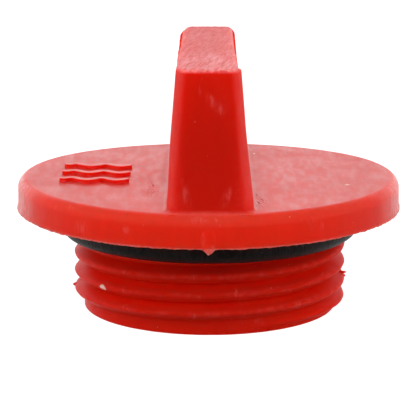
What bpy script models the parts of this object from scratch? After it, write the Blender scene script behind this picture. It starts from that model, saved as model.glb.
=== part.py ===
"""Screw plug with a seal ring, for the filler or drain opening of a water-filled barrier.

Two separate pieces: the plug moulding and the rubber seal ring on its neck.
Metres, +Z up. The origin is the centre of the skirt's open end, on which the plug
stands, and the thread's axis is the Z axis. The bar grip runs along Y.
"""

from math import cos, floor, pi, radians, sin

import bmesh
import bpy
from mathutils import Matrix, Vector

MM = 0.001

# Flange
FLANGE_RADIUS = 31.5 * MM
FLANGE_THICKNESS = 5.6 * MM
RIM_ROUND = 2.3 * MM
RIM_SPAN = radians(60)  # the rim's rounding meets the flat top at an edge
SKIRT_DEPTH = 16.4 * MM

# Shallow seat for the seal ring in the flange's underside
SEAT_RADIUS = 25.5 * MM
SEAT_DEPTH = 0.1 * MM

# Thread, M45 x 3, right hand
THREAD_RADIUS = 22.5 * MM
ROOT_RADIUS = 20.7 * MM
PITCH = 3.0 * MM
FIRST_CREST = 1.5 * MM
THREAD_BOTTOM = 0.5 * MM
THREAD_TOP = 12.0 * MM
END_FADE = 0.8 * MM
FULL_TURNS = (-0.10, 3.0)
FADED_TURNS = (-0.35, 3.35)

# Neck that the seal ring sits on, and the hollow inside the skirt
NECK_RADIUS = 20.35 * MM
END_CHAMFER = 0.2 * MM
BORE_RADIUS = 17.5 * MM
BORE_ROUND = 1.5 * MM
CEILING_WALL = 3.0 * MM

# Bar grip, and the slot that cores it out from below
GRIP_BASE_WIDTH = 13.4 * MM
GRIP_TOP_WIDTH = 9.8 * MM
GRIP_HEIGHT = 21.2 * MM
GRIP_LENGTH = 59.0 * MM
GRIP_ROUND = 1.4 * MM
GRIP_ROOT = 1.5 * MM
GRIP_WALL = 2.5 * MM
SLOT_LENGTH = 30.0 * MM
SLOT_END_DRAFT = 1.5 * MM
SLOT_ROOF = 3.0 * MM

# Raised water symbol, three wavy bars, on the flange beside the grip
WAVE_COUNT = 3
WAVE_SPACING = 6.0 * MM
WAVE_LENGTH = 10.0 * MM
WAVE_PERIODS = 2
WAVE_SWING = 0.8 * MM
WAVE_WIDTH = 1.4 * MM
WAVE_HEIGHT = 0.6 * MM
WAVE_CENTRE = (-18.6 * MM, 0.0)

# Moulding gate left on the rim, pointed at both ends
GATE_HALF_SIZE = (1.4 * MM, 0.5 * MM, 2.3 * MM)
GATE_HEIGHT = 1.5 * MM

# Seal ring
SEAL_SECTION = 4.0 * MM
SEAL_RADIUS = 22.75 * MM
TOUCHING_GAP = 0.3 * MM

# Heights that follow
FLANGE_UNDERSIDE = SKIRT_DEPTH
FLANGE_TOP = FLANGE_UNDERSIDE + FLANGE_THICKNESS
GRIP_TOP = FLANGE_TOP + GRIP_HEIGHT
CEILING = FLANGE_TOP - CEILING_WALL

# Resolution
COLUMNS = 72
ROWS_PER_PITCH = 6
ARC_STEPS = 4
SEAL_STEPS = 14
EMBED = 0.5 * MM
WELD = 0.001 * MM
SHARP_ANGLE = radians(40)

PLUG_RED = (0.60, 0.013, 0.007, 1.0)
RUBBER_BLACK = (0.013, 0.013, 0.012, 1.0)


def clear_scene():
    for old in list(bpy.data.objects):
        bpy.data.objects.remove(old, do_unlink=True)


def material(name, colour, roughness):
    made = bpy.data.materials.new(name)
    made.use_nodes = True
    shader = made.node_tree.nodes["Principled BSDF"]
    shader.inputs["Base Color"].default_value = colour
    shader.inputs["Roughness"].default_value = roughness
    shader.inputs["Metallic"].default_value = 0.0
    return made


def new_object(name, bm):
    """Turns a bmesh into a linked object, smooth except along its sharp edges."""
    bmesh.ops.recalc_face_normals(bm, faces=bm.faces)
    mesh = bpy.data.meshes.new(name)
    bm.to_mesh(mesh)
    bm.free()
    mesh.shade_smooth()
    mesh.set_sharp_from_angle(angle=SHARP_ANGLE)
    made = bpy.data.objects.new(name, mesh)
    bpy.context.scene.collection.objects.link(made)
    return made


def smooth_step(value):
    value = min(1.0, max(0.0, value))
    return value * value * (3.0 - 2.0 * value)


def thread_radius(turn, z):
    """Radius at a turn (0 to 1 from +X) and a height: rounded crests, sharp roots.

    The ridge rises from the root at both of its ends, along the helix and along Z.
    """
    ridges = (z - FIRST_CREST) / PITCH - turn
    ridge = floor(ridges + 0.5)
    travelled = ridge + turn
    depth = (THREAD_RADIUS - ROOT_RADIUS) * abs(cos(pi * (ridges - ridge)))
    depth *= smooth_step((travelled - FADED_TURNS[0]) / (FULL_TURNS[0] - FADED_TURNS[0]))
    depth *= smooth_step((FADED_TURNS[1] - travelled) / (FADED_TURNS[1] - FULL_TURNS[1]))
    depth *= smooth_step((z - THREAD_BOTTOM) / END_FADE)
    depth *= smooth_step((THREAD_TOP - z) / END_FADE)
    return ROOT_RADIUS + depth


def around(bm, column, radius, z):
    angle = 2.0 * pi * column / COLUMNS
    return bm.verts.new((radius * cos(angle), radius * sin(angle), z))


def circle(bm, radius, z):
    return [around(bm, column, radius, z) for column in range(COLUMNS)]


def skin(bm, lower, upper):
    """Joins two rows of vertices with quads; closed rows give a closed band."""
    count = len(lower)
    spans = count if count == COLUMNS else count - 1
    for first in range(spans):
        second = (first + 1) % count
        bm.faces.new((lower[first], lower[second], upper[second], upper[first]))


def threaded_band(bm):
    """Rows that climb one pitch a turn, held between the thread's two ends.

    Rows held at an end fall on one another there, and the weld joins them.
    """
    step = PITCH / ROWS_PER_PITCH
    rows = round((THREAD_TOP - THREAD_BOTTOM + PITCH) / step)
    grid = []
    for row in range(rows + 1):
        line = []
        for column in range(COLUMNS + 1):
            turn = column / COLUMNS
            z = THREAD_BOTTOM - PITCH + row * step + PITCH * turn
            z = min(THREAD_TOP, max(THREAD_BOTTOM, z))
            line.append(around(bm, column, thread_radius(turn % 1.0, z), z))
        grid.append(line)
    for lower, upper in zip(grid, grid[1:]):
        skin(bm, lower, upper)


def shoulder(outer_r, top, radius, span=pi / 2):
    """Points (r, z) on the arc from a wall at outer_r up to a flat at top."""
    points = []
    for step in range(ARC_STEPS + 1):
        angle = span * step / ARC_STEPS
        z = top - radius * (sin(span) - sin(angle))
        points.append((outer_r - radius * (1 - cos(angle)), z))
    return points


def turned_body():
    """Flange, neck, thread and hollow skirt, without the grip."""
    bm = bmesh.new()
    flange = [
        (ROOT_RADIUS, THREAD_TOP),
        (NECK_RADIUS, THREAD_TOP),
        (NECK_RADIUS, FLANGE_UNDERSIDE + SEAT_DEPTH),
        (SEAT_RADIUS, FLANGE_UNDERSIDE + SEAT_DEPTH),
        (SEAT_RADIUS, FLANGE_UNDERSIDE),
        (FLANGE_RADIUS, FLANGE_UNDERSIDE),
    ]
    flange += shoulder(FLANGE_RADIUS, FLANGE_TOP, RIM_ROUND, RIM_SPAN)
    hollow = [
        (ROOT_RADIUS, THREAD_BOTTOM),
        (ROOT_RADIUS, END_CHAMFER),
        (ROOT_RADIUS - END_CHAMFER, 0.0),
        (BORE_RADIUS, 0.0),
    ]
    hollow += shoulder(BORE_RADIUS, CEILING, BORE_ROUND)
    for profile in (flange, hollow):
        rings = [circle(bm, radius, z) for radius, z in profile]
        for one, other in zip(rings, rings[1:]):
            skin(bm, one, other)
        bm.faces.new(rings[-1])
    threaded_band(bm)
    bmesh.ops.remove_doubles(bm, verts=bm.verts, dist=WELD)
    return new_object("plug_body", bm)


def tapered_block(bottom_size, top_size, bottom, top):
    """A block centred on the Z axis whose sides lean in towards its top."""
    bm = bmesh.new()
    bmesh.ops.create_cube(bm, size=1.0)
    for vert in bm.verts:
        above = vert.co.z > 0
        width, length = top_size if above else bottom_size
        vert.co = Vector((vert.co.x * width, vert.co.y * length, top if above else bottom))
    return bm


def grip_width(z):
    share = (z - FLANGE_TOP) / GRIP_HEIGHT
    return GRIP_BASE_WIDTH + (GRIP_TOP_WIDTH - GRIP_BASE_WIDTH) * share


def upright(edge):
    low, high = sorted(vert.co.z for vert in edge.verts)
    return high - low > GRIP_HEIGHT / 2


def along_top(edge):
    one, other = (vert.co for vert in edge.verts)
    return min(one.z, other.z) > GRIP_TOP - WELD and abs(one.y - other.y) > GRIP_LENGTH / 2


def grip_block():
    """The bar grip, rooted a little way into the flange."""
    bottom = FLANGE_TOP - GRIP_ROOT
    bm = tapered_block(
        (grip_width(bottom), GRIP_LENGTH), (GRIP_TOP_WIDTH, GRIP_LENGTH), bottom, GRIP_TOP
    )
    edges = [edge for edge in bm.edges if upright(edge) or along_top(edge)]
    bmesh.ops.bevel(
        bm, geom=edges, offset=GRIP_ROUND, segments=ARC_STEPS, profile=0.5, affect="EDGES"
    )
    return new_object("grip_block", bm)


def grip_slot():
    """The slot that hollows the grip, drawn out downwards through the skirt."""
    bottom = CEILING - EMBED
    top = GRIP_TOP - SLOT_ROOF
    mouth = (grip_width(bottom) - 2 * GRIP_WALL, SLOT_LENGTH)
    roof = (grip_width(top) - 2 * GRIP_WALL, SLOT_LENGTH - 2 * SLOT_END_DRAFT)
    return new_object("grip_slot", tapered_block(mouth, roof, bottom, top))


def wave_bar(index):
    """One wavy bar of the water symbol, an extruded ribbon of even width."""
    bm = bmesh.new()
    steps = 8 * WAVE_PERIODS
    centre_y = WAVE_CENTRE[1] + (index - (WAVE_COUNT - 1) / 2) * WAVE_SPACING
    sides = ([], [])
    for step in range(steps + 1):
        share = step / steps
        phase = 2.0 * pi * WAVE_PERIODS * share
        slope = WAVE_SWING * 2.0 * pi * WAVE_PERIODS / WAVE_LENGTH * cos(phase)
        across = Vector((-slope, 1.0)).normalized() * WAVE_WIDTH / 2
        x = WAVE_CENTRE[0] + (share - 0.5) * WAVE_LENGTH
        y = centre_y + WAVE_SWING * sin(phase)
        for side, sign in zip(sides, (-1, 1)):
            side.append(Vector((x + sign * across.x, y + sign * across.y, FLANGE_TOP - EMBED)))
    outline = [bm.verts.new(point) for point in sides[0] + sides[1][::-1]]
    base = bm.faces.new(outline)
    raised = bmesh.ops.extrude_face_region(bm, geom=[base])["geom"]
    lift = Vector((0.0, 0.0, EMBED + WAVE_HEIGHT))
    raised_verts = [item for item in raised if isinstance(item, bmesh.types.BMVert)]
    bmesh.ops.translate(bm, verts=raised_verts, vec=lift)
    return new_object(f"wave_bar_{index}", bm)


def gate_mark():
    """The stub of the moulding gate, half sunk in the rim at -Y."""
    bm = bmesh.new()
    bmesh.ops.create_uvsphere(bm, u_segments=12, v_segments=8, radius=1.0)
    size = Matrix.Diagonal((*GATE_HALF_SIZE, 1.0))
    place = Matrix.Translation((0.0, -FLANGE_RADIUS, FLANGE_UNDERSIDE + GATE_HEIGHT))
    bmesh.ops.transform(bm, matrix=place @ size, verts=bm.verts)
    return new_object("gate_mark", bm)


def combine(body, other, operation):
    """Adds or cuts with a second solid, which stays in the scene only as a guide."""
    modifier = body.modifiers.new(other.name, "BOOLEAN")
    modifier.operation = operation
    modifier.object = other
    modifier.solver = "EXACT"
    other.hide_render = True
    other.display_type = "WIRE"


def plug_body():
    body = turned_body()
    combine(body, grip_block(), "UNION")
    for index in range(WAVE_COUNT):
        combine(body, wave_bar(index), "UNION")
    combine(body, gate_mark(), "UNION")
    combine(body, grip_slot(), "DIFFERENCE")
    body.data.materials.append(material("plug_red", PLUG_RED, 0.38))


def seal_ring():
    """A round-section ring just under the flange, clear of the neck and the thread."""
    bm = bmesh.new()
    half = SEAL_SECTION / 2
    rings = []
    for step in range(SEAL_STEPS):
        angle = 2.0 * pi * step / SEAL_STEPS
        rings.append(circle(bm, SEAL_RADIUS + half * cos(angle), half * sin(angle)))
    for one, other in zip(rings, rings[1:] + rings[:1]):
        skin(bm, one, other)
    ring = new_object("seal_ring", bm)
    ring.location.z = FLANGE_UNDERSIDE - TOUCHING_GAP - half
    ring.data.materials.append(material("rubber_black", RUBBER_BLACK, 0.6))


clear_scene()
plug_body()
seal_ring()
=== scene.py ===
from math import cos, pi, radians, sin
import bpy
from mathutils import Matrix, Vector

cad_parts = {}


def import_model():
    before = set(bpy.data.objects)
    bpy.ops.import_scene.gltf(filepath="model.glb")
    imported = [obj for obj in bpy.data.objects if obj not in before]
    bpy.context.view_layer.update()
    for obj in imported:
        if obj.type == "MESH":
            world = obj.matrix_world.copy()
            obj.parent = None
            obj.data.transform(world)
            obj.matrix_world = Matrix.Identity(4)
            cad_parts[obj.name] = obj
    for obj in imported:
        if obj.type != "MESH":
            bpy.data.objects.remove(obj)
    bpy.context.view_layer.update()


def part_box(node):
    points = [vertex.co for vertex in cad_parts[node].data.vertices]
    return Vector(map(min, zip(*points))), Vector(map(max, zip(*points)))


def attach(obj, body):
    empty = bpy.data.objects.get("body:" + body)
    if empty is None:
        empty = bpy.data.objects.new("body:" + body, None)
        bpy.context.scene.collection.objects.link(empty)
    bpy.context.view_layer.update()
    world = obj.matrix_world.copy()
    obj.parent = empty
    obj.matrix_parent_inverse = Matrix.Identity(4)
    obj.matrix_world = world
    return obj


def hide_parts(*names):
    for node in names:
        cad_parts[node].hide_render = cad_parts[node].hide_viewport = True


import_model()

from types import SimpleNamespace

import bmesh
import bpy
import numpy as np
from mathutils import Vector, noise

MM = 0.001

# ---------------------------------------------------------------- sizes, from the CAD
PLUG_LOW, PLUG_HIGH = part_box("plug_body")
SEAL_LOW, SEAL_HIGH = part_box("seal_ring")

FLANGE_RADIUS = PLUG_HIGH.x
GRIP_TOP = PLUG_HIGH.z
GRIP_HEIGHT = 21.2 * MM
FLANGE_TOP = GRIP_TOP - GRIP_HEIGHT
FLANGE_THICKNESS = 5.6 * MM
UNDERSIDE = FLANGE_TOP - FLANGE_THICKNESS
RIM_ROUND = 2.3 * MM
RIM_SPAN = radians(60)
SEAT_RADIUS = 25.5 * MM
SEAT_DEPTH = 0.1 * MM

THREAD_RADIUS = 22.5 * MM
ROOT_RADIUS = 20.7 * MM
PITCH = 3.0 * MM
FIRST_CREST = 1.5 * MM
THREAD_BOTTOM = 0.5 * MM
THREAD_TOP = 12.0 * MM
END_FADE = 0.8 * MM
# Turns travelled along the ridge: full depth between the first pair, nothing outside the second
FULL_TURNS = (0.05, 3.0)
FADED_TURNS = (-0.25, 3.35)
ROOT_SOFTNESS = 0.22

NECK_RADIUS = 20.35 * MM
BORE_RADIUS = 17.5 * MM
BORE_ROUND = 1.5 * MM
CEILING = FLANGE_TOP - 3.0 * MM

GRIP_BASE_WIDTH = 13.4 * MM
GRIP_TOP_WIDTH = 9.8 * MM
GRIP_LENGTH = 59.0 * MM
GRIP_CORNER = 1.7 * MM
GRIP_FILLET = 0.7 * MM
GRIP_ROOT = 1.5 * MM
GRIP_WALL = 2.5 * MM
SLOT_LENGTH = 30.0 * MM
SLOT_END_DRAFT = 1.5 * MM
SLOT_ROOF = 3.0 * MM

WAVE_COUNT = 3
WAVE_SPACING = 6.0 * MM
WAVE_LENGTH = 10.0 * MM
WAVE_PERIODS = 2
WAVE_SWING = 0.8 * MM
WAVE_WIDTH = 1.4 * MM
WAVE_HEIGHT = 0.6 * MM
WAVE_CENTRE = (-18.6 * MM, 0.0)

# The thread and its ring sit slightly off the flange's centre, as moulded
OFF_CENTRE = 0.18 * MM

# As it cooled, the flange's top sank, its two sides lifted, and the neck gave over this height
SUNK = 0.50 * MM
LIFTED = 0.38 * MM
NECK_GIVE = 1.4 * MM
# The skirt's end spread by this much, fading out at this height
SPREAD = 0.25 * MM
SPREAD_HEIGHT = 3.2 * MM

# Resolution: coarser while trying things out
COLUMNS = 540
ROWS_PER_PITCH = 22
SIDE_STEPS = 96
TOP_STEPS = 72
GRIP_STEP = 0.4 * MM
ARC_STEPS = 8
EMBED = 0.5 * MM
WELD = 0.0005 * MM


# ---------------------------------------------------------------- small tools
def smooth_step(value):
    value = np.clip(value, 0.0, 1.0)
    return value * value * (3.0 - 2.0 * value)


def ripple(points, size, seed=0.0):
    """Smooth noise from -1 to 1 at each point; size is about that of its features."""
    shift = Vector((seed * 17.3, seed * 5.1, seed))
    return np.array([noise.noise(Vector(p) / size + shift) for p in points])


def bump_at(points, centre, radius):
    """1 at the centre, falling to 0 at the radius (one number, or one per axis)."""
    away = (np.asarray(points) - np.asarray(centre)) / np.asarray(radius)
    return smooth_step(1.0 - np.linalg.norm(away, axis=1))


def mesh_object(name, verts, faces, weld=0.0):
    """An object from points and faces, with its normals facing out."""
    mesh = bpy.data.meshes.new(name)
    mesh.from_pydata([tuple(map(float, v)) for v in verts], [], faces)
    bm = bmesh.new()
    bm.from_mesh(mesh)
    if weld:
        bmesh.ops.remove_doubles(bm, verts=bm.verts, dist=weld)
    bmesh.ops.recalc_face_normals(bm, faces=bm.faces)
    bm.to_mesh(mesh)
    bm.free()
    made = bpy.data.objects.new(name, mesh)
    bpy.context.scene.collection.objects.link(made)
    return made


class Skin:
    """Points and faces gathered row by row."""

    def __init__(self):
        self.points = []
        self.faces = []

    def row(self, points):
        start = len(self.points)
        self.points.extend(points)
        return list(range(start, len(self.points)))

    def band(self, lower, upper, closed=True):
        count = len(lower)
        for first in range(count if closed else count - 1):
            second = (first + 1) % count
            self.faces.append((lower[first], lower[second], upper[second], upper[first]))

    def bands(self, rows, closed=True):
        for lower, upper in zip(rows, rows[1:]):
            self.band(lower, upper, closed)


def combine(body, other, operation):
    """Applies a Boolean to body and removes the second solid."""
    modifier = body.modifiers.new(other.name, "BOOLEAN")
    modifier.operation = operation
    modifier.object = other
    modifier.solver = "EXACT"
    graph = bpy.context.evaluated_depsgraph_get()
    result = bpy.data.meshes.new_from_object(body.evaluated_get(graph))
    body.modifiers.clear()
    old = body.data
    body.data = result
    bpy.data.meshes.remove(old)
    bpy.data.objects.remove(other)


# ---------------------------------------------------------------- the plug's turned body
def turn_angles(closed=False):
    count = COLUMNS + 1 if closed else COLUMNS
    return np.arange(count) * 2.0 * pi / COLUMNS


def ring_points(radius, z):
    """A circle of points; radius and z are numbers or one value per column."""
    angles = turn_angles()
    radius = np.broadcast_to(radius, angles.shape)
    z = np.broadcast_to(z, angles.shape)
    return np.stack([radius * np.cos(angles), radius * np.sin(angles), z], 1)


def thread_radius(turn, z):
    """Rounded crests and tight roots; the ridge rises from the root at both ends."""
    ridges = (z - FIRST_CREST) / PITCH - turn
    ridge = np.floor(ridges + 0.5)
    travelled = ridge + turn
    wave = np.sqrt(np.cos(pi * (ridges - ridge)) ** 2 + ROOT_SOFTNESS**2) - ROOT_SOFTNESS
    depth = (THREAD_RADIUS - ROOT_RADIUS) * wave / (np.sqrt(1 + ROOT_SOFTNESS**2) - ROOT_SOFTNESS)
    depth = depth * smooth_step((travelled - FADED_TURNS[0]) / (FULL_TURNS[0] - FADED_TURNS[0]))
    depth = depth * smooth_step((FADED_TURNS[1] - travelled) / (FADED_TURNS[1] - FULL_TURNS[1]))
    depth = depth * smooth_step((z - THREAD_BOTTOM) / END_FADE)
    depth = depth * smooth_step((THREAD_TOP - z) / END_FADE)
    return ROOT_RADIUS + depth


def threaded_band(skin):
    """Rows that climb one pitch a turn, held between the thread's two ends."""
    step = PITCH / ROWS_PER_PITCH
    rows = round((THREAD_TOP - THREAD_BOTTOM + PITCH) / step)
    angles = turn_angles(closed=True)
    turn = angles / (2.0 * pi)
    lines = []
    for row in range(rows + 1):
        z = np.clip(THREAD_BOTTOM - PITCH + row * step + PITCH * turn, THREAD_BOTTOM, THREAD_TOP)
        radius = thread_radius(turn % 1.0, z)
        points = np.stack([radius * np.cos(angles), radius * np.sin(angles), z], 1)
        lines.append(skin.row(points))
    skin.bands(lines, closed=False)


def shoulder(outer_r, top, radius, span=pi / 2):
    """Points (r, z) on the arc from a wall at outer_r up to a flat at top."""
    points = []
    for step in range(ARC_STEPS + 1):
        angle = span * step / ARC_STEPS
        z = top - radius * (sin(span) - sin(angle))
        points.append((outer_r - radius * (1 - cos(angle)), z))
    return points


def turned_body():
    """Flange, ring seat, neck, thread, skirt and hollow, turned about the plug's axis."""
    skin = Skin()
    wall_top = FLANGE_TOP - RIM_ROUND * sin(RIM_SPAN)
    wall_foot = UNDERSIDE + 0.7 * MM
    flange = [
        (ROOT_RADIUS, THREAD_TOP),
        (NECK_RADIUS + 0.1 * MM, THREAD_TOP + 0.1 * MM),
        (NECK_RADIUS, THREAD_TOP + 0.3 * MM),
        (NECK_RADIUS, UNDERSIDE - 0.3 * MM),
        (NECK_RADIUS + 0.3 * MM, UNDERSIDE + SEAT_DEPTH),
        (SEAT_RADIUS, UNDERSIDE + SEAT_DEPTH),
        (SEAT_RADIUS, UNDERSIDE),
        (FLANGE_RADIUS - 0.8 * MM, UNDERSIDE),
        (FLANGE_RADIUS - 0.3 * MM, UNDERSIDE),
        (FLANGE_RADIUS - 0.05 * MM, UNDERSIDE),
        (FLANGE_RADIUS + 0.02 * MM, UNDERSIDE + 0.06 * MM),
        (FLANGE_RADIUS, UNDERSIDE + 0.25 * MM),
        (FLANGE_RADIUS, UNDERSIDE + 0.45 * MM),
    ]
    steps = 12
    flange += [(FLANGE_RADIUS, wall_foot + (wall_top - wall_foot) * k / steps) for k in range(steps)]
    flange += shoulder(FLANGE_RADIUS, FLANGE_TOP, RIM_ROUND, RIM_SPAN)
    rim_edge = flange[-1][0]
    flange += [(rim_edge - inset * MM, FLANGE_TOP) for inset in (0.25, 0.6, 1.2, 2.2)]
    hollow = [
        (ROOT_RADIUS, THREAD_BOTTOM),
        (ROOT_RADIUS, 0.12 * MM),
        (ROOT_RADIUS - 0.04 * MM, 0.04 * MM),
        (ROOT_RADIUS - 0.12 * MM, 0.0),
        (BORE_RADIUS + 0.2 * MM, 0.0),
        (BORE_RADIUS, 0.2 * MM),
    ]
    hollow += shoulder(BORE_RADIUS, CEILING, BORE_ROUND)
    for profile in (flange, hollow):
        rows = [skin.row(ring_points(radius, z)) for radius, z in profile]
        skin.bands(rows)
        skin.faces.append(tuple(rows[-1]))
    threaded_band(skin)
    return mesh_object("plug_fine", skin.points, skin.faces, weld=WELD)


# ---------------------------------------------------------------- the bar grip
def grip_half_width(z):
    """Half the drafted grip's width at a height."""
    share = (z - FLANGE_TOP) / GRIP_HEIGHT
    return (GRIP_BASE_WIDTH + (GRIP_TOP_WIDTH - GRIP_BASE_WIDTH) * share) / 2


# Turns of the upright corner from the end face to the side: (angle, share of the length).
# Most of it lies near 45 degrees, so the corner reads as a softened chamfer.
CORNER_TURNS = (
    (4, 2), (12, 2), (21, 2), (30, 3), (37, 4), (43, 4),
    (49, 4), (56, 3), (65, 2), (75, 1), (85, 1),
)


def upright_corner():
    """(run, inset) from the end face's edge of the corner to the side's, both in metres."""
    runs, insets = [0.0], [0.0]
    for angle, length in CORNER_TURNS:
        runs.append(runs[-1] + length * sin(radians(angle)))
        insets.append(insets[-1] + length * cos(radians(angle)))
    runs = np.array(runs) / runs[-1] * GRIP_CORNER
    insets = (1.0 - np.array(insets) / insets[-1]) * GRIP_CORNER
    return list(zip(runs, insets))


def grip_stations():
    """(y, inset) along the grip: an upright corner, even steps, and the other corner."""
    half = GRIP_LENGTH / 2
    corner = [(-half + run, inset) for run, inset in upright_corner()]
    inner = half - GRIP_CORNER
    steps = round(2 * inner / GRIP_STEP)
    middle = [(-inner + 2 * inner * k / steps, 0.0) for k in range(1, steps)]
    return corner + middle + [(-y, inset) for y, inset in reversed(corner)]


def top_round(y):
    """Radius of the long top edges: nearly sharp at the near end, full at the far end."""
    share = (y + GRIP_LENGTH / 2) / GRIP_LENGTH
    return (0.35 + 1.15 * smooth_step(share * 1.5)) * MM


def grip_side(y, inset):
    """The right side's outline (x, z) at a station, from the root up to the top face."""
    radius = float(top_round(y))
    upper = GRIP_TOP - radius
    base = FLANGE_TOP + GRIP_FILLET
    side = [FLANGE_TOP - GRIP_ROOT, FLANGE_TOP - 0.7 * MM, FLANGE_TOP - 0.1 * MM]
    side += [FLANGE_TOP + GRIP_FILLET * k / 8 for k in range(8)]
    side += [base + (upper - base) * k / SIDE_STEPS for k in range(SIDE_STEPS)]
    points = [(grip_half_width(z) - inset, z) for z in side]
    crown = grip_half_width(upper) - inset - radius
    for step in range(ARC_STEPS + 1):
        angle = pi / 2 * step / ARC_STEPS
        points.append((crown + radius * cos(angle), upper + radius * sin(angle)))
    return np.array(points)


def across(left, right, count):
    """Points between two points, ends left out."""
    shares = np.arange(1, count) / count
    return left + (right - left) * shares[:, None]


def coons(left, right, bottom, top):
    """A patch of points that fills four edge curves: rows go up, columns across."""
    rows, columns = len(left), len(top)
    v = np.linspace(0, 1, rows)[:, None, None]
    u = np.linspace(0, 1, columns)[None, :, None]
    ruled = (1 - u) * left[:, None] + u * right[:, None] + (1 - v) * bottom[None] + v * top[None]
    corners = (
        (1 - u) * (1 - v) * left[0]
        + u * (1 - v) * right[0]
        + (1 - u) * v * left[-1]
        + u * v * right[-1]
    )
    return ruled - corners


def grip_block():
    """The whole grip as one closed skin: a ring of points at each station, and two end faces."""
    skin = Skin()
    rings, frames = [], []
    for y, inset in grip_stations():
        outline = grip_side(y, inset)
        right = np.stack([outline[:, 0], np.full(len(outline), y), outline[:, 1]], 1)
        left = right * (-1, 1, 1)
        top = across(left[-1], right[-1], TOP_STEPS)
        bottom = across(left[0], right[0], TOP_STEPS)
        frames.append((left, right, bottom, top))
        rings.append(skin.row(np.concatenate([left, top, right[::-1], bottom[::-1]])))
    skin.bands(rings)
    for left, right, bottom, top in (frames[0], frames[-1]):
        bottom = np.concatenate([left[:1], bottom, right[:1]])
        top = np.concatenate([left[-1:], top, right[-1:]])
        patch = coons(left, right, bottom, top)
        rows = [skin.row(line) for line in patch]
        skin.bands(rows, closed=False)
    points = worn_grip(np.array(skin.points))
    return mesh_object("grip_block", points, skin.faces, weld=WELD)


def worn_grip(points):
    """The hand-trimmed top and sides, the burr at the near end, the foot's fillet and a slight lean."""
    x, y, z = points.T
    half = GRIP_LENGTH / 2
    share = (y + half) / GRIP_LENGTH
    near = 1.0 - smooth_step((y + half) / (1.3 * MM))
    sideways = np.minimum(1.0, np.abs(x) / (3.0 * MM))
    topness = smooth_step((z - (GRIP_TOP - 2.4 * MM)) / (2.4 * MM))
    # the sides are trimmed in below the top, most on the right, but not at the near end
    right = 0.34 + 0.28 * (1.0 - share)
    left = 0.06 + 0.05 * (1.0 - share)
    ragged_side = ripple(points * (0.3, 1, 1), 2.2 * MM, 14) * 0.16
    step_back = smooth_step((y + half - 1.6 * MM) / (0.9 * MM))
    deep = smooth_step((z - (GRIP_TOP - 10.0 * MM)) / (5.0 * MM))
    trim = np.where(x > 0, right, left) * deep + ragged_side * topness
    new_x = x - np.sign(x) * trim * MM * sideways * step_back
    burr = bump_at(points, (5.0 * MM, -half, GRIP_TOP - 1.0 * MM), (1.6 * MM, 1.1 * MM, 1.9 * MM))
    new_x = new_x + 0.36 * MM * burr
    # the top slopes to the far end, whose edge and corners are rounded over
    fall = 0.10 * MM * (1.0 - share) - 0.10 * MM * share
    past = np.clip(share * GRIP_LENGTH - (GRIP_LENGTH - 2.2 * MM), 0.0, None)
    over = 2.2 * MM - np.sqrt(np.clip((2.2 * MM) ** 2 - past**2, 0.0, None))
    grain = ripple(points, 1.1 * MM, 1) * 0.05 + ripple(points, 0.45 * MM, 2) * 0.03
    stretched = points * (1, 0.2, 0.2)
    ragged = ripple(stretched, 0.8 * MM, 3) * 0.20 + ripple(stretched, 0.3 * MM, 4) * 0.08
    corner = bump_at(points, (-4.9 * MM, half, GRIP_TOP), (1.9 * MM, 9.0 * MM, 2.2 * MM))
    lift = fall + grain * MM + (ragged - 0.12) * MM * near
    new_z = z + topness * (lift - np.minimum(over, 1.4 * MM)) - 0.55 * MM * corner
    # end faces: sunk a little down the middle, and a rough lip along the near top edge
    end = smooth_step((np.abs(y) - (half - 0.05 * MM)) / (0.04 * MM))
    width = np.clip(1.0 - (x / grip_half_width(z)) ** 2, 0.0, 1.0)
    height = np.clip((z - FLANGE_TOP) / GRIP_HEIGHT, 0.0, 1.0)
    sink = 0.10 * MM * width * np.sin(pi * height) * end
    lip = (0.06 + 0.30 * ragged) * MM * near * smooth_step((z - (GRIP_TOP - 0.35 * MM)) / (0.35 * MM))
    new_y = y - np.sign(y) * sink - lip
    # the fillet at the foot, and faint unevenness all over the moulding
    foot = np.clip((FLANGE_TOP + GRIP_FILLET - z) / GRIP_FILLET, 0.0, 1.0)
    flare = GRIP_FILLET * (1.0 - np.sqrt(1.0 - foot**2))
    lengthways = smooth_step((np.abs(y) - (half - GRIP_CORNER)) / GRIP_CORNER)
    wave = ripple(points, 6.0 * MM, 5) * 0.04 * MM
    new_x = new_x + np.sign(x) * sideways * (wave + flare)
    # the moulding leans a little, so its foot sits to the right
    new_x = new_x + 0.26 * MM * (1.0 - smooth_step((z - FLANGE_TOP) / (13.0 * MM)))
    new_y = new_y + np.sign(y) * flare * lengthways
    return np.stack([new_x, new_y, new_z], 1)


def grip_slot():
    """The block that cores the grip out from below."""
    bottom = CEILING - EMBED
    top = GRIP_TOP - SLOT_ROOF
    mouth = (2 * grip_half_width(bottom) - 2 * GRIP_WALL, SLOT_LENGTH)
    roof = (2 * grip_half_width(top) - 2 * GRIP_WALL, SLOT_LENGTH - 2 * SLOT_END_DRAFT)
    bm = bmesh.new()
    bmesh.ops.create_cube(bm, size=1.0)
    for vert in bm.verts:
        width, length = roof if vert.co.z > 0 else mouth
        vert.co = Vector((vert.co.x * width, vert.co.y * length, top if vert.co.z > 0 else bottom))
    middle = (bottom + top) / 2
    edges = [edge for edge in bm.edges if max(vert.co.z for vert in edge.verts) > middle]
    bmesh.ops.bevel(bm, geom=edges, offset=0.7 * MM, segments=4, profile=0.5, affect="EDGES")
    points = [vert.co.copy() for vert in bm.verts]
    faces = [tuple(vert.index for vert in face.verts) for face in bm.faces]
    bm.free()
    return mesh_object("grip_slot", points, faces)


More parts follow.
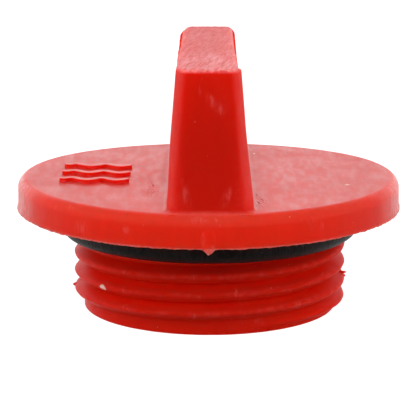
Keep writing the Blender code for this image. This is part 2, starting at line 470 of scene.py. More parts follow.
# ---------------------------------------------------------------- raised symbol and gate
def wave_bar(index):
    """One wavy bar with softened top edges and rounded ends."""
    skin = Skin()
    steps = 64
    centre_y = WAVE_CENTRE[1] + (index - (WAVE_COUNT - 1) / 2) * WAVE_SPACING
    half = WAVE_WIDTH / 2
    lip = 0.12 * MM
    top = FLANGE_TOP + WAVE_HEIGHT
    section = [(-half - 0.06 * MM, FLANGE_TOP - EMBED), (-half, FLANGE_TOP + 0.1 * MM)]
    for step in range(5):
        angle = pi / 2 * step / 4
        section.append((-half + lip * (1 - cos(angle)), top - lip * (1 - sin(angle))))
    section += [(-offset, z) for offset, z in reversed(section)]
    rows = []
    for step in range(-6, steps + 7):
        share = min(1.0, max(0.0, step / steps))
        phase = 2.0 * pi * WAVE_PERIODS * share
        slope = WAVE_SWING * 2.0 * pi * WAVE_PERIODS / WAVE_LENGTH * cos(phase)
        along = Vector((1.0, slope, 0)).normalized()
        side = Vector((-along.y, along.x, 0))
        centre = Vector((
            WAVE_CENTRE[0] + (share - 0.5) * WAVE_LENGTH,
            centre_y + WAVE_SWING * sin(phase),
            0,
        ))
        past = 0 if 0 <= step <= steps else (step if step < 0 else step - steps) / 6
        angle = past * pi / 2
        centre += along * half * sin(angle)
        squeeze = max(cos(angle), 0.02)
        rows.append(skin.row([
            centre + side * offset * squeeze + Vector((0, 0, z)) for offset, z in section
        ]))
    skin.bands(rows)
    skin.faces.append(tuple(rows[0]))
    skin.faces.append(tuple(rows[-1]))
    return mesh_object(f"wave_bar_{index}", skin.points, skin.faces)


# Half width (mm) of the gate's stub against height above the flange's underside (mm)
GATE_OUTLINE = (
    (-0.72, 0.26), (-0.6, 0.40), (-0.3, 0.68), (0.0, 0.95), (0.5, 1.12), (1.2, 1.22),
    (2.2, 1.16), (2.9, 0.98), (3.35, 0.72), (3.6, 0.42), (3.7, 0.15),
)


def gate_mark():
    """The gate's low stub on the rim at -Y, blended in, whose tip hangs below the rim."""
    skin = Skin()
    heights = np.array([h for h, w in GATE_OUTLINE])
    widths = np.array([w for h, w in GATE_OUTLINE])
    steps, sides = 36, 24
    rows = []
    low, high = heights[0], heights[-1]
    for step in range(steps + 1):
        h = low + (high - low) * step / steps
        half = float(np.interp(h, heights, widths)) * MM
        x = half * np.linspace(-1, 1, sides + 1)
        raised = 0.27 * MM * smooth_step((high - h) / 1.3) * (1.0 - np.abs(x / half) ** 3) - 0.03 * MM
        rim = -np.sqrt(FLANGE_RADIUS**2 - x**2)
        outer = np.stack([x, rim - raised, np.full(sides + 1, UNDERSIDE + h * MM)], 1)
        inner = outer[::-1] * (0.9, 1, 1)
        inner[:, 1] = rim + 0.35 * MM
        rows.append(skin.row(np.concatenate([outer, inner])))
    skin.bands(rows)
    skin.faces.append(tuple(rows[0]))
    skin.faces.append(tuple(rows[-1]))
    return mesh_object("gate_mark", skin.points, skin.faces)


# ---------------------------------------------------------------- wear on the turned body
# Moulding flash and nicks: (angle in degrees, height, push outwards, size round, size up), in mm
THREAD_MARKS = (
    (182, 3.2, 0.50, 0.7, 0.5),
    (181, 4.0, 0.22, 0.6, 0.5),
    (-2, 5.3, 1.20, 0.5, 0.40),
    (-1, 4.6, 0.35, 0.5, 0.4),
    (0, 6.6, 0.28, 0.5, 0.3),
    (-139.6, 6.0, 0.20, 0.7, 0.7),
    (-78, 6.7, 0.18, 0.5, 0.9),
    (-118, 3.9, -0.14, 0.9, 0.6),
    (-52, 3.7, -0.12, 1.0, 0.5),
    (-100, 9.6, -0.10, 1.2, 0.5),
    (60, 7.0, -0.14, 0.9, 0.6),
    (120, 4.2, 0.16, 0.7, 0.5),
)


def worn_body(points):
    """Flash along the rim's lower edge, and nicks, flash and unevenness on the thread."""
    x, y, z = points.T
    radius = np.hypot(x, y)
    outward = np.stack([x, y], 1) / np.maximum(radius, 1e-9)[:, None]
    push = np.zeros(len(points))
    drop = np.zeros(len(points))

    rim = (radius > FLANGE_RADIUS - 0.4 * MM) & (z < FLANGE_TOP)
    foot = rim * (1.0 - smooth_step((z - UNDERSIDE) / (0.9 * MM)))
    flat = np.stack([x, y, np.zeros(len(x))], 1)
    teeth = ripple(flat, 0.55 * MM, 6) * 0.7 + ripple(flat, 1.7 * MM, 7) * 0.5
    slow = ripple(flat, 9.0 * MM, 8)
    push += foot * (0.18 + 0.08 * teeth + 0.05 * slow) * MM
    edge = rim * (1.0 - smooth_step((z - UNDERSIDE) / (0.3 * MM)))
    drop += edge * (0.06 + 0.17 * teeth + 0.07 * slow) * MM
    wall = rim * smooth_step((z - UNDERSIDE) / (0.5 * MM))
    uneven = ripple(points * (1, 1, 0.6), 3.5 * MM, 9) * 0.05 + ripple(points, 1.2 * MM, 10) * 0.012
    push += wall * uneven * MM

    outside = (radius > ROOT_RADIUS - 0.6 * MM) & (radius < THREAD_RADIUS + 0.5 * MM)
    skirt = outside & (z < THREAD_TOP + 0.2 * MM)
    wear = ripple(points * (1, 1, 1.4), 2.6 * MM, 11) * 0.06 + ripple(points, 0.9 * MM, 12) * 0.03
    push += skirt * smooth_step(z / (0.3 * MM)) * wear * MM
    shell = np.column_stack([outward * THREAD_RADIUS, z])
    for angle, height, out, size_round, size_up in THREAD_MARKS:
        centre = (THREAD_RADIUS * cos(radians(angle)), THREAD_RADIUS * sin(radians(angle)), height * MM)
        spot = bump_at(shell, centre, (size_round * MM, size_round * MM, size_up * MM))
        push += skirt * spot * out * MM
    drop -= skirt * (z < 0.06 * MM) * ripple(flat, 1.5 * MM, 13) * 0.02 * MM

    below = 1.0 - smooth_step((z - (THREAD_TOP + 0.2 * MM)) / (UNDERSIDE - THREAD_TOP - 0.4 * MM))
    new = points.copy()
    new[:, :2] += outward * push[:, None]
    new[:, 0] += OFF_CENTRE * below * (radius < SEAT_RADIUS)
    new[:, 2] -= drop
    return new


def bowed(points):
    """The flange's top sunk a little, its two sides lifted, and the skirt's end a little spread."""
    x, y, z = points.T
    up_flange = np.clip((z - UNDERSIDE) / (FLANGE_TOP - UNDERSIDE), 0.0, 1.0)
    sunk = SUNK * up_flange * np.clip((GRIP_TOP - z) / GRIP_HEIGHT, 0.0, 1.0)
    up_neck = np.clip((z - UNDERSIDE + NECK_GIVE) / NECK_GIVE, 0.0, 1.0)
    lifted = LIFTED * (x / FLANGE_RADIUS) ** 2 * up_neck
    outward = np.hypot(x, y)
    skirt = outward > BORE_RADIUS + 1.5 * MM
    spread = SPREAD * (1.0 - smooth_step(z / SPREAD_HEIGHT)) * skirt
    scale = 1.0 + spread / np.maximum(outward, MM)
    return np.stack([x * scale, y * scale, np.maximum(z - sunk + lifted, 0.0)], 1)


# ---------------------------------------------------------------- pieces
def plug_body():
    """Everything moulded in one: joined, cored, worn, bowed and given its material."""
    body = turned_body()
    additions = [grip_block(), gate_mark()] + [wave_bar(k) for k in range(WAVE_COUNT)]
    for part in additions:
        combine(body, part, "UNION")
    combine(body, grip_slot(), "DIFFERENCE")
    points = np.zeros(len(body.data.vertices) * 3)
    body.data.vertices.foreach_get("co", points)
    body.data.vertices.foreach_set("co", bowed(worn_body(points.reshape(-1, 3))).ravel())
    body.data.update()
    body.data.shade_smooth()
    body.data.set_sharp_from_angle(angle=radians(32))
    body.data.materials.clear()
    body.data.materials.append(red_plastic())
    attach(body, "plug")
    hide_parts("plug_body")


def seal_ring():
    """The rubber ring, its cord a little uneven, with the mould's fine line round its waist."""
    skin = Skin()
    half = (SEAL_HIGH.z - SEAL_LOW.z) / 2 * 1.02
    centre_r = SEAL_HIGH.x - half
    centre_z = (SEAL_HIGH.z + SEAL_LOW.z) / 2
    angles = turn_angles()
    waist = np.stack([np.cos(angles), np.sin(angles), np.zeros(COLUMNS)], 1) * centre_r
    swell = ripple(waist, 7.0 * MM, 20) * 0.06 * MM
    sides = 48
    rows = []
    for step in range(sides + 1):
        angle = 2 * pi * step / sides
        from_waist = angle - 2 * pi * round(angle / (2 * pi))
        line = 0.035 * MM * np.exp(-((from_waist / 0.07) ** 2))
        radius = half + line + swell
        circle = ring_points(centre_r + radius * cos(angle), centre_z + radius * sin(angle))
        rows.append(skin.row(circle))
    skin.bands(rows)
    points = np.array(skin.points) + (OFF_CENTRE, 0, 0)
    ring = mesh_object("seal_ring_fine", points, skin.faces, weld=WELD)
    ring.data.shade_smooth()
    ring.data.materials.append(rubber())
    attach(ring, "ring")
    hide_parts("seal_ring")


# ---------------------------------------------------------------- materials
class Graph:
    """Shorthand for building a material's nodes; positions are in millimetres."""

    def __init__(self, name):
        self.material = bpy.data.materials.new(name)
        self.material.use_nodes = True
        self.nodes = self.material.node_tree.nodes
        self.links = self.material.node_tree.links
        self.shader = self.nodes["Principled BSDF"]
        scale = self.nodes.new("ShaderNodeVectorMath")
        scale.operation = "SCALE"
        scale.inputs["Scale"].default_value = 1 / MM
        self.links.new(self.nodes.new("ShaderNodeTexCoord").outputs["Object"], scale.inputs[0])
        self.place = scale.outputs["Vector"]
        split = self.nodes.new("ShaderNodeSeparateXYZ")
        self.links.new(self.place, split.inputs[0])
        self.x, self.y, self.z = split.outputs
        squares = self.total(self.product(self.x, self.x), self.product(self.y, self.y))
        self.radius = self.math("SQRT", squares)

    def straighten(self):
        """Measure heights as they were before the flange bowed."""
        underside, top, grip_top = UNDERSIDE / MM, FLANGE_TOP / MM, GRIP_TOP / MM
        across = self.product(self.x, MM / FLANGE_RADIUS)
        up_neck = self.ramp(self.z, underside - NECK_GIVE / MM, underside)
        level = self.math("SUBTRACT", self.z, self.product(across, across, up_neck, LIFTED / MM))
        now_top = top - SUNK / MM
        near_top = self.product(self.ramp(level, underside, now_top), self.ramp(level, grip_top, now_top))
        self.z = self.total(level, self.product(near_top, SUNK / MM))
        join = self.nodes.new("ShaderNodeCombineXYZ")
        for socket, value in zip(join.inputs, (self.x, self.y, self.z)):
            self.links.new(value, socket)
        self.place = join.outputs[0]

    def put(self, socket, value):
        if isinstance(value, bpy.types.NodeSocket):
            self.links.new(value, socket)
        else:
            socket.default_value = value

    def drive(self, name, value):
        """Links a value to the shader's input of that name."""
        self.links.new(value, self.shader.inputs[name])

    def math(self, operation, *values):
        node = self.nodes.new("ShaderNodeMath")
        node.operation = operation
        for socket, value in zip(node.inputs, values):
            self.put(socket, value)
        return node.outputs[0]

    def vector(self, operation, one, other):
        node = self.nodes.new("ShaderNodeVectorMath")
        node.operation = operation
        self.put(node.inputs[0], one)
        self.put(node.inputs[1], other)
        return node.outputs["Value"] if operation == "LENGTH" else node.outputs["Vector"]

    def turned(self, place, angles):
        node = self.nodes.new("ShaderNodeVectorRotate")
        node.rotation_type = "EULER_XYZ"
        self.put(node.inputs["Vector"], place)
        node.inputs["Rotation"].default_value = [radians(a) for a in angles]
        return node.outputs[0]

    def noise(self, size, stretch=(1, 1, 1), detail=2.0, turn=None, rough=0.5):
        """Noise from 0 to 1, around 0.5, with features about size millimetres across."""
        place = self.turned(self.place, turn) if turn else self.place
        node = self.nodes.new("ShaderNodeTexNoise")
        node.inputs["Scale"].default_value = 1.0
        node.inputs["Detail"].default_value = detail
        node.inputs["Roughness"].default_value = rough
        scaled = self.vector("MULTIPLY", place, [1 / (size * s) for s in stretch])
        self.put(node.inputs["Vector"], scaled)
        return node.outputs["Fac"]

    def ramp(self, value, low, high, to=(0.0, 1.0)):
        """A smooth step from to[0] at low to to[1] at high."""
        node = self.nodes.new("ShaderNodeMapRange")
        node.interpolation_type = "SMOOTHSTEP"
        if low > high:
            low, high, to = high, low, (to[1], to[0])
        self.put(node.inputs["Value"], value)
        node.inputs["From Min"].default_value = low
        node.inputs["From Max"].default_value = high
        node.inputs["To Min"].default_value, node.inputs["To Max"].default_value = to
        return node.outputs["Result"]

    def spot(self, centre, size, turn=None):
        """1 in an ellipsoid's middle, 0 outside it."""
        away = self.vector("SUBTRACT", self.place, centre)
        if turn:
            away = self.turned(away, turn)
        away = self.vector("MULTIPLY", away, [1 / s for s in size])
        return self.ramp(self.vector("LENGTH", away, (0, 0, 0)), 1.0, 0.25)

    def spots(self, marks):
        """1 in the middle of any of the marks, each (centre, size, turn)."""
        return self.largest(*[self.spot(*mark) for mark in marks])

    def chain(self, operation, values):
        result = values[0]
        for value in values[1:]:
            result = self.math(operation, result, value)
        return result

    def product(self, *values):
        return self.chain("MULTIPLY", values)

    def total(self, *values):
        return self.chain("ADD", values)

    def largest(self, *values):
        return self.chain("MAXIMUM", values)

    def mix(self, share, one, other):
        node = self.nodes.new("ShaderNodeMix")
        node.data_type = "RGBA"
        self.put(node.inputs["Factor"], share)
        for socket, colour in ((node.inputs[6], one), (node.inputs[7], other)):
            if isinstance(colour, bpy.types.NodeSocket):
                self.links.new(colour, socket)
            else:
                socket.default_value = (*colour, 1.0)
        return node.outputs[2]

    def bump(self, height, depth, under=None):
        """Raises the surface by depth millimetres where height is 1."""
        node = self.nodes.new("ShaderNodeBump")
        node.inputs["Strength"].default_value = 1.0
        node.inputs["Distance"].default_value = depth * MM
        self.put(node.inputs["Height"], height)
        if under is not None:
            self.links.new(under, node.inputs["Normal"])
        return node.outputs["Normal"]


# Colours, linear
RED = (0.68, 0.0100, 0.0020)
# Painted light: the rim drawn lighter than the rest of the plug
RIM_LIT_RED = (0.76, 0.0240, 0.0080)
# A deeper red: random cloudy tone, and painted shade down the grip's end faces
DEEP_RED_AND_SHADE = (0.56, 0.0080, 0.0022)
# Painted shade: a darker red for the thread, standing for the flange's shadow on it
THREAD_SHADE_RED = (0.50, 0.0115, 0.0045)
# Painted light: the thread just under the ring drawn lighter, against the shade of the ring and the flange
LIFT_UNDER_RING_RED = (0.92, 0.0240, 0.0100)
# Painted highlight along the rim's rounded top edge
RIM_TOP_HIGHLIGHT = (0.64, 0.0560, 0.0300)
MARKED = (0.50, 0.0300, 0.0300)
PALE_RED = (0.80, 0.16, 0.14)
# Pale pink: sanded plastic, with a painted sheen on the grip's cut top and painted light on the flange's
# rough patches
SANDED_AND_SHEEN = (0.88, 0.29, 0.30)
FLAKY = (0.76, 0.34, 0.34)
CHALK = (0.80, 0.52, 0.44)

# Scuffs and rubbed patches: centre, half size (mm), turn (degrees)
SCUFFS = (
    ((-3.3, -29.5, 24.5), (0.8, 3.0, 2.2), (0, 14, 0)),
    ((2.7, -29.5, 24.4), (0.9, 3.0, 2.2), (0, -22, 0)),
    ((0.3, -29.5, 38.8), (0.8, 3.0, 1.5), (0, 10, 0)),
    ((1.8, -29.5, 37.5), (0.5, 3.0, 1.8), (0, 18, 0)),
    ((-1.2, -29.5, 40.6), (0.3, 3.0, 2.4), (0, -8, 0)),
    ((-5.9, -28.8, 35.4), (0.7, 1.6, 2.6), None),
    ((6.4, -28.8, 33.0), (0.6, 1.6, 2.4), None),
    ((-1.5, -31.0, 21.2), (1.9, 1.5, 0.9), None),
    ((1.3, -31.2, 21.1), (0.35, 1.5, 1.3), (0, 30, 0)),
    ((-0.8, -31.6, 18.2), (0.4, 1.0, 1.7), None),
    ((0.6, -31.7, 16.7), (0.5, 1.0, 0.6), None),
    ((-12.5, -28.9, 19.0), (0.8, 1.4, 0.9), None),
    ((17.3, -26.3, 19.0), (0.5, 1.2, 1.2), None),
    ((16.0, -27.0, 20.2), (0.5, 1.4, 1.1), (0, 40, 0)),
    ((-19.5, -24.5, 18.4), (1.6, 2.0, 1.6), None),
    ((-20.9, -22.6, 21.4), (0.9, 0.9, 1.0), None),
    ((4.3, -22.0, 7.2), (0.45, 1.5, 0.9), None),
    ((-13.4, -18.0, 9.6), (0.7, 1.5, 0.5), None),
    ((-13.3, -18.0, 6.5), (0.5, 1.5, 1.1), None),
    ((-13.2, -18.0, 3.8), (0.9, 1.5, 0.6), None),
    ((-17.4, -13.9, 4.6), (0.4, 1.5, 1.1), None),
    ((-1.6, -22.4, 6.4), (0.5, 1.5, 0.8), None),
    ((-2.3, -22.4, 3.3), (0.45, 1.5, 1.0), None),
    ((-2.2, -22.4, 9.6), (0.8, 1.5, 0.8), None),
    ((12.6, -18.4, 6.6), (0.9, 1.5, 0.5), None),
    ((14.2, -17.2, 4.0), (0.8, 1.5, 0.9), None),
    ((16.5, -15.0, 9.3), (1.4, 1.8, 0.5), None),
)

# Chips and flecks of pale dust stuck on
FLECKS = (
    ((8.0, 19.9, 22.0), (0.32, 0.8, 0.3), None),
    ((22.4, -8.6, 22.0), (0.5, 0.7, 0.3), (0, 0, 20)),
    ((-13.4, -2.8, 22.0), (0.35, 0.8, 0.3), None),
)

# A square-edged chip stuck on the thread
CHIP = ((-16.9, -14.3, 6.0), (0.95, 1.6, 0.85), (0, 35, 0))

# Fine dark scratches in the flange's top
SCRATCHES = (
    ((-9.0, -7.9, 22.0), (0.26, 2.0, 0.3), (0, 0, -10)),
    ((-8.7, -13.6, 22.0), (0.13, 1.3, 0.3), (0, 0, 12)),
    ((7.7, -21.7, 22.0), (0.17, 1.7, 0.3), (0, 0, -10)),
    ((8.3, -19.4, 22.0), (0.14, 1.5, 0.3), (0, 0, -14)),
    ((7.3, -24.6, 22.0), (0.14, 1.2, 0.3), (0, 0, 8)),
    ((7.6, -16.0, 22.0), (0.10, 1.3, 0.3), (0, 0, 6)),
)

# Rough patches of the flange's top beside the grip
ROUGH = (
    ((-8.8, -12.5, 22.0), (1.6, 9.0, 1.0), None),
    ((8.2, -21.5, 22.0), (1.3, 6.0, 1.0), None),
)


def plastic_regions(g):
    """Masks from 0 to 1 that say where a point of the plug is, and its distances."""
    flange_top, grip_top = FLANGE_TOP / MM, GRIP_TOP / MM
    at = SimpleNamespace()
    at.aside = g.math("ABSOLUTE", g.x)
    at.along = g.math("ABSOLUTE", g.y)
    at.above = g.ramp(g.z, flange_top - 0.1, flange_top + 1.6)
    at.thread = g.product(g.ramp(g.z, 15.0, 12.5), g.ramp(g.radius, 19.0, 20.0))
    at.trimmed = g.ramp(g.z, grip_top - 0.55, grip_top - 0.15)
    at.end_face = g.product(at.above, g.ramp(at.along, 28.8, 29.4))
    at.rim = g.product(g.ramp(g.radius, 30.0, 30.8), g.ramp(g.z, flange_top + 0.9, flange_top - 0.1))
    at.top_face = g.product(
        g.ramp(g.z, flange_top - 0.3, flange_top - 0.05),
        g.ramp(g.z, flange_top + 0.5, flange_top + 0.1),
    )
    slope = (GRIP_TOP_WIDTH - GRIP_BASE_WIDTH) / 2 / GRIP_HEIGHT
    half_width = g.math("MULTIPLY_ADD", g.math("SUBTRACT", g.z, flange_top), slope, GRIP_BASE_WIDTH / MM / 2)
    at.inset = g.math("SUBTRACT", half_width, at.aside)
    return at


def plastic_noises(g):
    """Noises shared by the colour, the gloss and the relief."""
    return SimpleNamespace(
        cloud=g.noise(7.0, detail=3.0),
        fine=g.noise(0.42, detail=3.0, rough=0.7),
        mottle=g.noise(1.3, stretch=(1, 4, 1), detail=3.0, rough=0.6),
        hatch=g.noise(0.36, stretch=(1, 12, 1), detail=2.0, turn=(0, 0, 7)),
        brushed=g.noise(0.5, stretch=(1, 1, 5), detail=3.0, rough=0.65),
        cloth=g.noise(0.9, stretch=(1, 10, 1), detail=2.0, turn=(0, 0, 7)),
    )


def moulded_colour_and_light(g, at, grain):
    """Cloudy red, with painted light and shade: lighter on the rim, with a painted highlight along its top
    edge, darker on the thread and down the middle of the grip's end faces, and lighter on the thread just
    under the ring.
    """
    flange_top, grip_top = FLANGE_TOP / MM, GRIP_TOP / MM
    # painted light: the rim a lighter red, in cloudy patches
    colour = g.mix(g.product(g.ramp(grain.cloud, 0.25, 0.75, (0.8, 1.0)), at.rim), RED, RIM_LIT_RED)
    # painted highlight: the rim's rounded top edge paler, most away from the sides
    rim_highlight = g.product(
        g.ramp(g.z, flange_top - 2.6, flange_top - 0.6),
        g.ramp(at.aside, 26.0, 20.0, (0.25, 0.75)),
    )
    colour = g.mix(g.product(at.rim, rim_highlight), colour, RIM_TOP_HIGHLIGHT)
    streak = g.noise(1.3, stretch=(1, 1, 7), detail=3.0)
    # painted shade: the grip's end faces darker down the middle and towards the foot
    middle = g.ramp(at.aside, 5.6, 2.0, (0.35, 0.85))
    falling = g.ramp(g.z, grip_top - 1.0, flange_top + 9.0)
    depth = g.total(
        g.ramp(grain.cloud, 0.3, 0.7, (0.0, 0.18)),
        g.ramp(streak, 0.3, 0.7, (0.0, 0.16)),
        g.product(at.end_face, middle, falling),
    )
    colour = g.mix(g.math("MINIMUM", depth, 1.0), colour, DEEP_RED_AND_SHADE)
    # painted shade: the thread darker on its ridges and low down, most towards the front, standing for the
    # flange's shadow
    ridge = g.math("MAXIMUM", g.ramp(g.radius, 21.1, 22.2), g.ramp(g.z, 3.2, 1.6, (0.0, 0.75)))
    front = g.ramp(g.y, -6.0, -20.0, (0.35, 1.0))
    colour = g.mix(g.product(at.thread, ridge, front), colour, THREAD_SHADE_RED)
    # painted light: the thread just under the ring lighter, most at the front, against the shade of the ring
    # and the flange
    lift_under_ring = g.ramp(g.z, 10.6, 12.4)
    return g.mix(g.product(at.thread, lift_under_ring, front, 0.9), colour, LIFT_UNDER_RING_RED)


def trimmed_colour_and_sheen(g, at, grain, colour):
    """The grip's cut top: streaky and pale, the pale partly a painted sheen, redder at its sides and away
    from the near end.
    """
    wander = g.product(g.math("SUBTRACT", grain.mottle, 0.5), 2.5)
    inner = g.ramp(g.math("ABSOLUTE", g.total(g.x, wander)), 4.9, 4.2, (0.45, 1.0))
    # painted sheen: the cut top palest at its near end
    far = g.ramp(g.y, -17.0, -5.0, (1.0, 0.48))
    streaky = g.total(
        g.ramp(grain.hatch, 0.34, 0.68, (0.05, 0.35)),
        g.ramp(grain.cloth, 0.32, 0.68, (0.10, 0.44)),
    )
    return g.mix(g.product(at.trimmed, streaky, inner, far), colour, SANDED_AND_SHEEN)


def rubbed_mask(g, at, grain, rough_patch):
    """Pale marks: rubbed on the flange's face, the rim's edges, the grip's corners and the scuffs; painted
    light beside the grip and, mixed with wear, on the rough patches; painted highlights along the rim's
    lower lip and the crests.
    """
    flange_top, underside, flange_r = FLANGE_TOP / MM, UNDERSIDE / MM, FLANGE_RADIUS / MM
    # painted light: the flange's top paler beside the grip, against the grip's shade
    beside = g.ramp(at.aside, 14.0, 8.0, (0.0, 0.12))
    haze_and_lift = g.product(at.top_face, g.total(g.ramp(grain.mottle, 0.34, 0.68, (0.06, 0.30)), beside))
    corner = g.product(
        at.above,
        g.ramp(at.along, 27.4, 28.4),
        g.ramp(at.inset, 1.9, 0.5),
        g.ramp(grain.brushed, 0.2, 0.8, (0.10, 0.26)),
    )
    # painted highlight: a pale, broken line along the flash at the rim's lower edge
    lip = g.product(
        g.ramp(g.radius, flange_r - 0.05, flange_r + 0.12),
        g.ramp(g.z, underside + 0.34, underside - 0.02),
        g.ramp(grain.fine, 0.30, 0.6, (0.25, 0.9)),
    )
    rim_edge = g.product(
        g.ramp(g.radius, 29.6, 30.2),
        g.ramp(g.z, flange_top - 0.7, flange_top - 0.1),
        g.ramp(g.radius, 31.0, 30.4),
        g.ramp(g.y, -15.0, -24.0, (1.0, 0.35)),
        g.ramp(grain.fine, 0.40, 0.66, (0.10, 0.70)),
    )
    # painted highlight: faint pale streaks along the thread's crests
    crest = g.product(
        at.thread,
        g.ramp(g.radius, 22.0, 22.5),
        g.ramp(g.noise(1.1, detail=3.0), 0.42, 0.72, (0.0, 0.12)),
    )
    scuffs = g.product(g.spots(SCUFFS), g.ramp(grain.brushed, 0.38, 0.66), 0.42)
    bruise = g.product(
        g.ramp(g.noise(3.6, detail=3.0, rough=0.6), 0.60, 0.78),
        g.ramp(grain.fine, 0.40, 0.65),
        0.16,
    )
    patch = g.product(rough_patch, 0.8)
    return g.math("MINIMUM", g.largest(haze_and_lift, patch, lip, rim_edge, corner, crest, scuffs, bruise), 1.0)


def plastic_wear_and_light(g, at, grain):
    """Masks of what is rough, rubbed, painted lighter, flaky, flecked with pale dust and scratched."""
    wear = SimpleNamespace()
    grit = g.noise(0.35, stretch=(1, 4, 1), detail=3.0, rough=0.7)
    wear.rough_patch = g.product(g.spots(ROUGH), g.ramp(grit, 0.40, 0.62))
    wear.rubbed = rubbed_mask(g, at, grain, wear.rough_patch)
    wear.flaky = g.product(
        at.rim,
        g.ramp(at.aside, 27.6, 30.6),
        g.ramp(grain.brushed, 0.43, 0.60),
        g.ramp(g.x, -10.0, 10.0, (0.56, 0.34)),
    )
    specks = g.product(g.ramp(g.noise(0.55, detail=1.0), 0.79, 0.83), 0.45)
    broken = g.ramp(g.noise(0.35, detail=2.0), 0.15, 0.4)
    chip = g.ramp(g.spot(*CHIP), 0.30, 0.45)
    wear.flecks = g.largest(g.product(g.largest(specks, g.spots(FLECKS)), broken), chip)
    wear.scratches = g.product(g.spots(SCRATCHES), g.ramp(grain.fine, 0.30, 0.50))
    return wear


def worn_and_lit_colour(g, wear, colour):
    # pale where rubbed, with painted light and painted highlights mixed in
    colour = g.mix(wear.rubbed, colour, PALE_RED)
    # sanding and painted light: the rough patches paler, against the grip's shade
    colour = g.mix(g.product(wear.rough_patch, 0.40), colour, SANDED_AND_SHEEN)
    colour = g.mix(wear.flaky, colour, FLAKY)
    colour = g.mix(g.math("MINIMUM", wear.flecks, 1.0), colour, CHALK)
    return g.mix(wear.scratches, colour, MARKED)


def plastic_roughness(g, at, grain, wear):
    """Satin, duller where it is rubbed, trimmed, threaded or scratched."""
    return g.total(
        g.ramp(grain.cloud, 0.25, 0.75, (0.31, 0.36)),
        g.product(wear.rubbed, 0.25),
        g.product(at.top_face, g.ramp(grain.mottle, 0.3, 0.7, (0.0, 0.08))),
        g.product(g.total(at.thread, at.trimmed), 0.14),
        g.product(wear.scratches, 0.2),
    )


def plastic_specular(g, at, grain, wear):
    """Weaker on the thread, the rim's right side, the trimmed top, the grip's sides and scratches."""
    grip_side_loss = g.product(
        at.above,
        g.ramp(at.inset, 1.4, 0.7),
        g.ramp(at.along, 28.8, 27.8),
        g.math("SUBTRACT", 1.0, at.trimmed),
        g.ramp(g.z, FLANGE_TOP / MM, GRIP_TOP / MM - 4.0, (0.38, 0.50)),
    )
    lost = g.total(
        g.product(at.thread, g.ramp(g.x, 2.0, 16.0, (0.40, 0.46))),
        g.product(at.rim, g.ramp(g.x, 24.0, 30.0, (0.0, 0.20))),
        g.product(at.trimmed, g.ramp(grain.hatch, 0.3, 0.7, (0.40, 0.34))),
        grip_side_loss,
        g.product(wear.scratches, 0.3),
    )
    return g.math("MAXIMUM", g.math("SUBTRACT", 0.5, lost), 0.0)


def plastic_relief(g, at, grain, wear):
    """Flow marks all over, a cut grain on the trimmed top, pits and raised flecks."""
    flow = g.noise(2.4, stretch=(1.0, 2.5, 1.0), detail=2.0, turn=(0, 0, 25))
    normal = g.bump(flow, 0.03)
    normal = g.bump(g.noise(0.5, detail=3.0, rough=0.6), 0.006, normal)
    normal = g.bump(g.product(grain.hatch, at.trimmed), 0.05, normal)
    normal = g.bump(g.product(g.total(wear.rough_patch, wear.flaky), grain.fine), 0.10, normal)
    return g.bump(g.math("SUBTRACT", wear.flecks, wear.scratches), 0.06, normal)


def red_plastic():
    g = Graph("red_plastic")
    g.straighten()
    at = plastic_regions(g)
    grain = plastic_noises(g)
    wear = plastic_wear_and_light(g, at, grain)
    colour = trimmed_colour_and_sheen(g, at, grain, moulded_colour_and_light(g, at, grain))
    g.drive("Base Color", worn_and_lit_colour(g, wear, colour))
    g.drive("Roughness", plastic_roughness(g, at, grain, wear))
    g.drive("Specular IOR Level", plastic_specular(g, at, grain, wear))
    g.drive("Normal", plastic_relief(g, at, grain, wear))
    inputs = g.shader.inputs
    inputs["IOR"].default_value = 1.52
    inputs["Subsurface Weight"].default_value = 1.0
    inputs["Subsurface Radius"].default_value = (1.0, 0.10, 0.05)
    inputs["Subsurface Scale"].default_value = 3.6 * MM
    return g.material


def rubber():
    """Matt black, ribbed and grained, with a faint bloom and a little pale dust."""
    g = Graph("black_rubber")
    ribs = g.noise(0.42, stretch=(1, 1, 3.5), detail=3.0, rough=0.6)
    grain = g.noise(0.30, detail=3.0, rough=0.7)
    bloom = g.noise(3.0, detail=2.0)
    colour = g.mix(g.ramp(ribs, 0.35, 0.65), (0.004, 0.003, 0.003), (0.014, 0.011, 0.010))
    colour = g.mix(g.ramp(bloom, 0.5, 0.8, (0.0, 0.25)), colour, (0.035, 0.032, 0.030))
    specks = g.ramp(g.noise(0.38, detail=1.0), 0.74, 0.80, (0.0, 0.6))
    colour = g.mix(specks, colour, (0.20, 0.12, 0.11))
    g.drive("Base Color", colour)
    g.drive("Roughness", g.ramp(ribs, 0.3, 0.7, (0.42, 0.58)))
    g.drive("Normal", g.bump(grain, 0.06, g.bump(ribs, 0.18)))
    return g.material


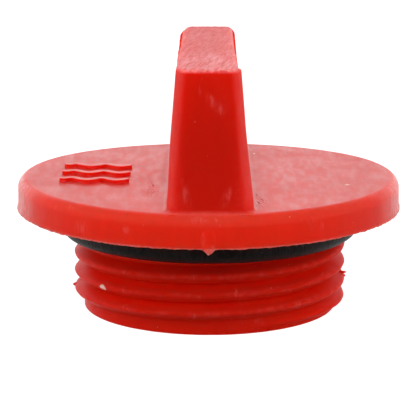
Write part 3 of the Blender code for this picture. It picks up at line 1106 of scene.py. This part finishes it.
# ---------------------------------------------------------------- stage, light and camera
def floor():
    """A white floor without a shadow, seen through from below, so the underside shows."""
    bm = bmesh.new()
    bmesh.ops.create_grid(bm, x_segments=8, y_segments=8, size=3.0)
    mesh = bpy.data.meshes.new("floor")
    bm.to_mesh(mesh)
    bm.free()
    made = bpy.data.objects.new("floor", mesh)
    bpy.context.scene.collection.objects.link(made)
    pale = bpy.data.materials.new("pale_floor")
    pale.use_nodes = True
    shader = pale.node_tree.nodes["Principled BSDF"]
    shader.inputs["Base Color"].default_value = (0.30, 0.30, 0.30, 1)
    shader.inputs["Roughness"].default_value = 0.9
    shader.inputs["Specular IOR Level"].default_value = 0.0
    shader.inputs["Emission Color"].default_value = (1, 1, 1, 1)
    shader.inputs["Emission Strength"].default_value = 0.93
    nodes, links = pale.node_tree.nodes, pale.node_tree.links
    clear = nodes.new("ShaderNodeBsdfTransparent")
    either = nodes.new("ShaderNodeMixShader")
    links.new(nodes.new("ShaderNodeNewGeometry").outputs["Backfacing"], either.inputs[0])
    links.new(shader.outputs[0], either.inputs[1])
    links.new(clear.outputs[0], either.inputs[2])
    links.new(either.outputs[0], nodes["Material Output"].inputs["Surface"])
    mesh.materials.append(pale)
    made.visible_glossy = False
    made.visible_diffuse = False
    made.visible_shadow = False


def area_light(name, place, size, power):
    """A round soft lamp aimed at the plug, left out of reflections."""
    light = bpy.data.lights.new(name, "AREA")
    light.shape = "DISK"
    light.size = size
    light.energy = power
    made = bpy.data.objects.new(name, light)
    made.location = place
    aim = Vector((0, 0, FLANGE_TOP))
    made.rotation_euler = (aim - Vector(place)).to_track_quat("-Z", "Y").to_euler()
    made.visible_glossy = False
    bpy.context.scene.collection.objects.link(made)


# The surroundings' brightness by direction, as (place from -1 to 1, brightness) pairs
WORLD_AROUND = ((-1.0, 0.04), (-0.5, 0.10), (0.1, 0.26), (0.5, 0.42), (0.8, 1.40), (1.0, 1.70))
WORLD_HEIGHT = ((-1.0, 0.5), (-0.2, 0.75), (0.0, 0.95), (0.25, 1.0), (0.6, 0.40), (1.0, 0.15))


def graded(nodes, links, value, stops):
    """A smooth curve through the stops, whose brightness goes up to 2."""
    ramp = nodes.new("ShaderNodeValToRGB")
    ramp.color_ramp.interpolation = "EASE"
    elements = ramp.color_ramp.elements
    while len(elements) < len(stops):
        elements.new(0.5)
    for element, (place, result) in zip(elements, stops):
        element.position = (place + 1) / 2
        element.color = (result / 2,) * 3 + (1,)
    spread = nodes.new("ShaderNodeMath")
    spread.operation = "MULTIPLY_ADD"
    links.new(value, spread.inputs[0])
    spread.inputs[1].default_value = 0.5
    spread.inputs[2].default_value = 0.5
    links.new(spread.outputs[0], ramp.inputs["Fac"])
    double = nodes.new("ShaderNodeMath")
    double.operation = "MULTIPLY"
    links.new(ramp.outputs["Color"], double.inputs[0])
    double.inputs[1].default_value = 2.0
    return double.outputs[0]


def world():
    """White behind the plug; as light, dim in front and bright at the sides and behind."""
    made = bpy.data.worlds.new("studio")
    bpy.context.scene.world = made
    made.use_nodes = True
    nodes, links = made.node_tree.nodes, made.node_tree.links
    background = nodes["Background"]
    background.inputs["Color"].default_value = (1, 1, 1, 1)
    direction = nodes.new("ShaderNodeSeparateXYZ")
    links.new(nodes.new("ShaderNodeTexCoord").outputs["Generated"], direction.inputs[0])
    light = nodes.new("ShaderNodeMath")
    light.operation = "MULTIPLY"
    links.new(graded(nodes, links, direction.outputs["Y"], WORLD_AROUND), light.inputs[0])
    links.new(graded(nodes, links, direction.outputs["Z"], WORLD_HEIGHT), light.inputs[1])
    choose = nodes.new("ShaderNodeMix")
    choose.data_type = "FLOAT"
    links.new(nodes.new("ShaderNodeLightPath").outputs["Is Camera Ray"], choose.inputs["Factor"])
    links.new(light.outputs[0], choose.inputs["A"])
    choose.inputs["B"].default_value = 1.0
    links.new(choose.outputs["Result"], background.inputs["Strength"])


CAMERA_DISTANCE = 10.0 * FLANGE_RADIUS
CAMERA_ELEVATION = radians(12.09)
CAMERA_LENS = 163.7
AIM_DROP = 0.39 * MM
AIM_LEFT = 0.08 * MM


def camera():
    data = bpy.data.cameras.new("camera")
    data.lens = CAMERA_LENS
    data.sensor_width = 36.0
    data.clip_start = 0.01
    made = bpy.data.objects.new("camera", data)
    centre = Vector((-AIM_LEFT, 0, UNDERSIDE))
    back = Vector((0, -cos(CAMERA_ELEVATION), sin(CAMERA_ELEVATION)))
    made.location = centre + back * CAMERA_DISTANCE
    aim = centre - Vector((0, 0, AIM_DROP))
    made.rotation_euler = (aim - made.location).to_track_quat("-Z", "Y").to_euler()
    bpy.context.scene.collection.objects.link(made)
    bpy.context.scene.camera = made


camera()
world()
floor()
area_light("key", (0.0, -0.58, 0.66), 0.9, 6.3)
area_light("top", (0.0, 0.15, 0.95), 0.6, 1.4)
area_light("bounce", (0.0, -0.62, -0.34), 0.8, 1.5)
area_light("fill_left", (-0.82, -0.22, 0.10), 0.6, 4.1)
area_light("fill_right", (0.82, -0.22, 0.10), 0.6, 3.8)
plug_body()
seal_ring()
bpy.context.scene.view_settings.view_transform = "Standard"
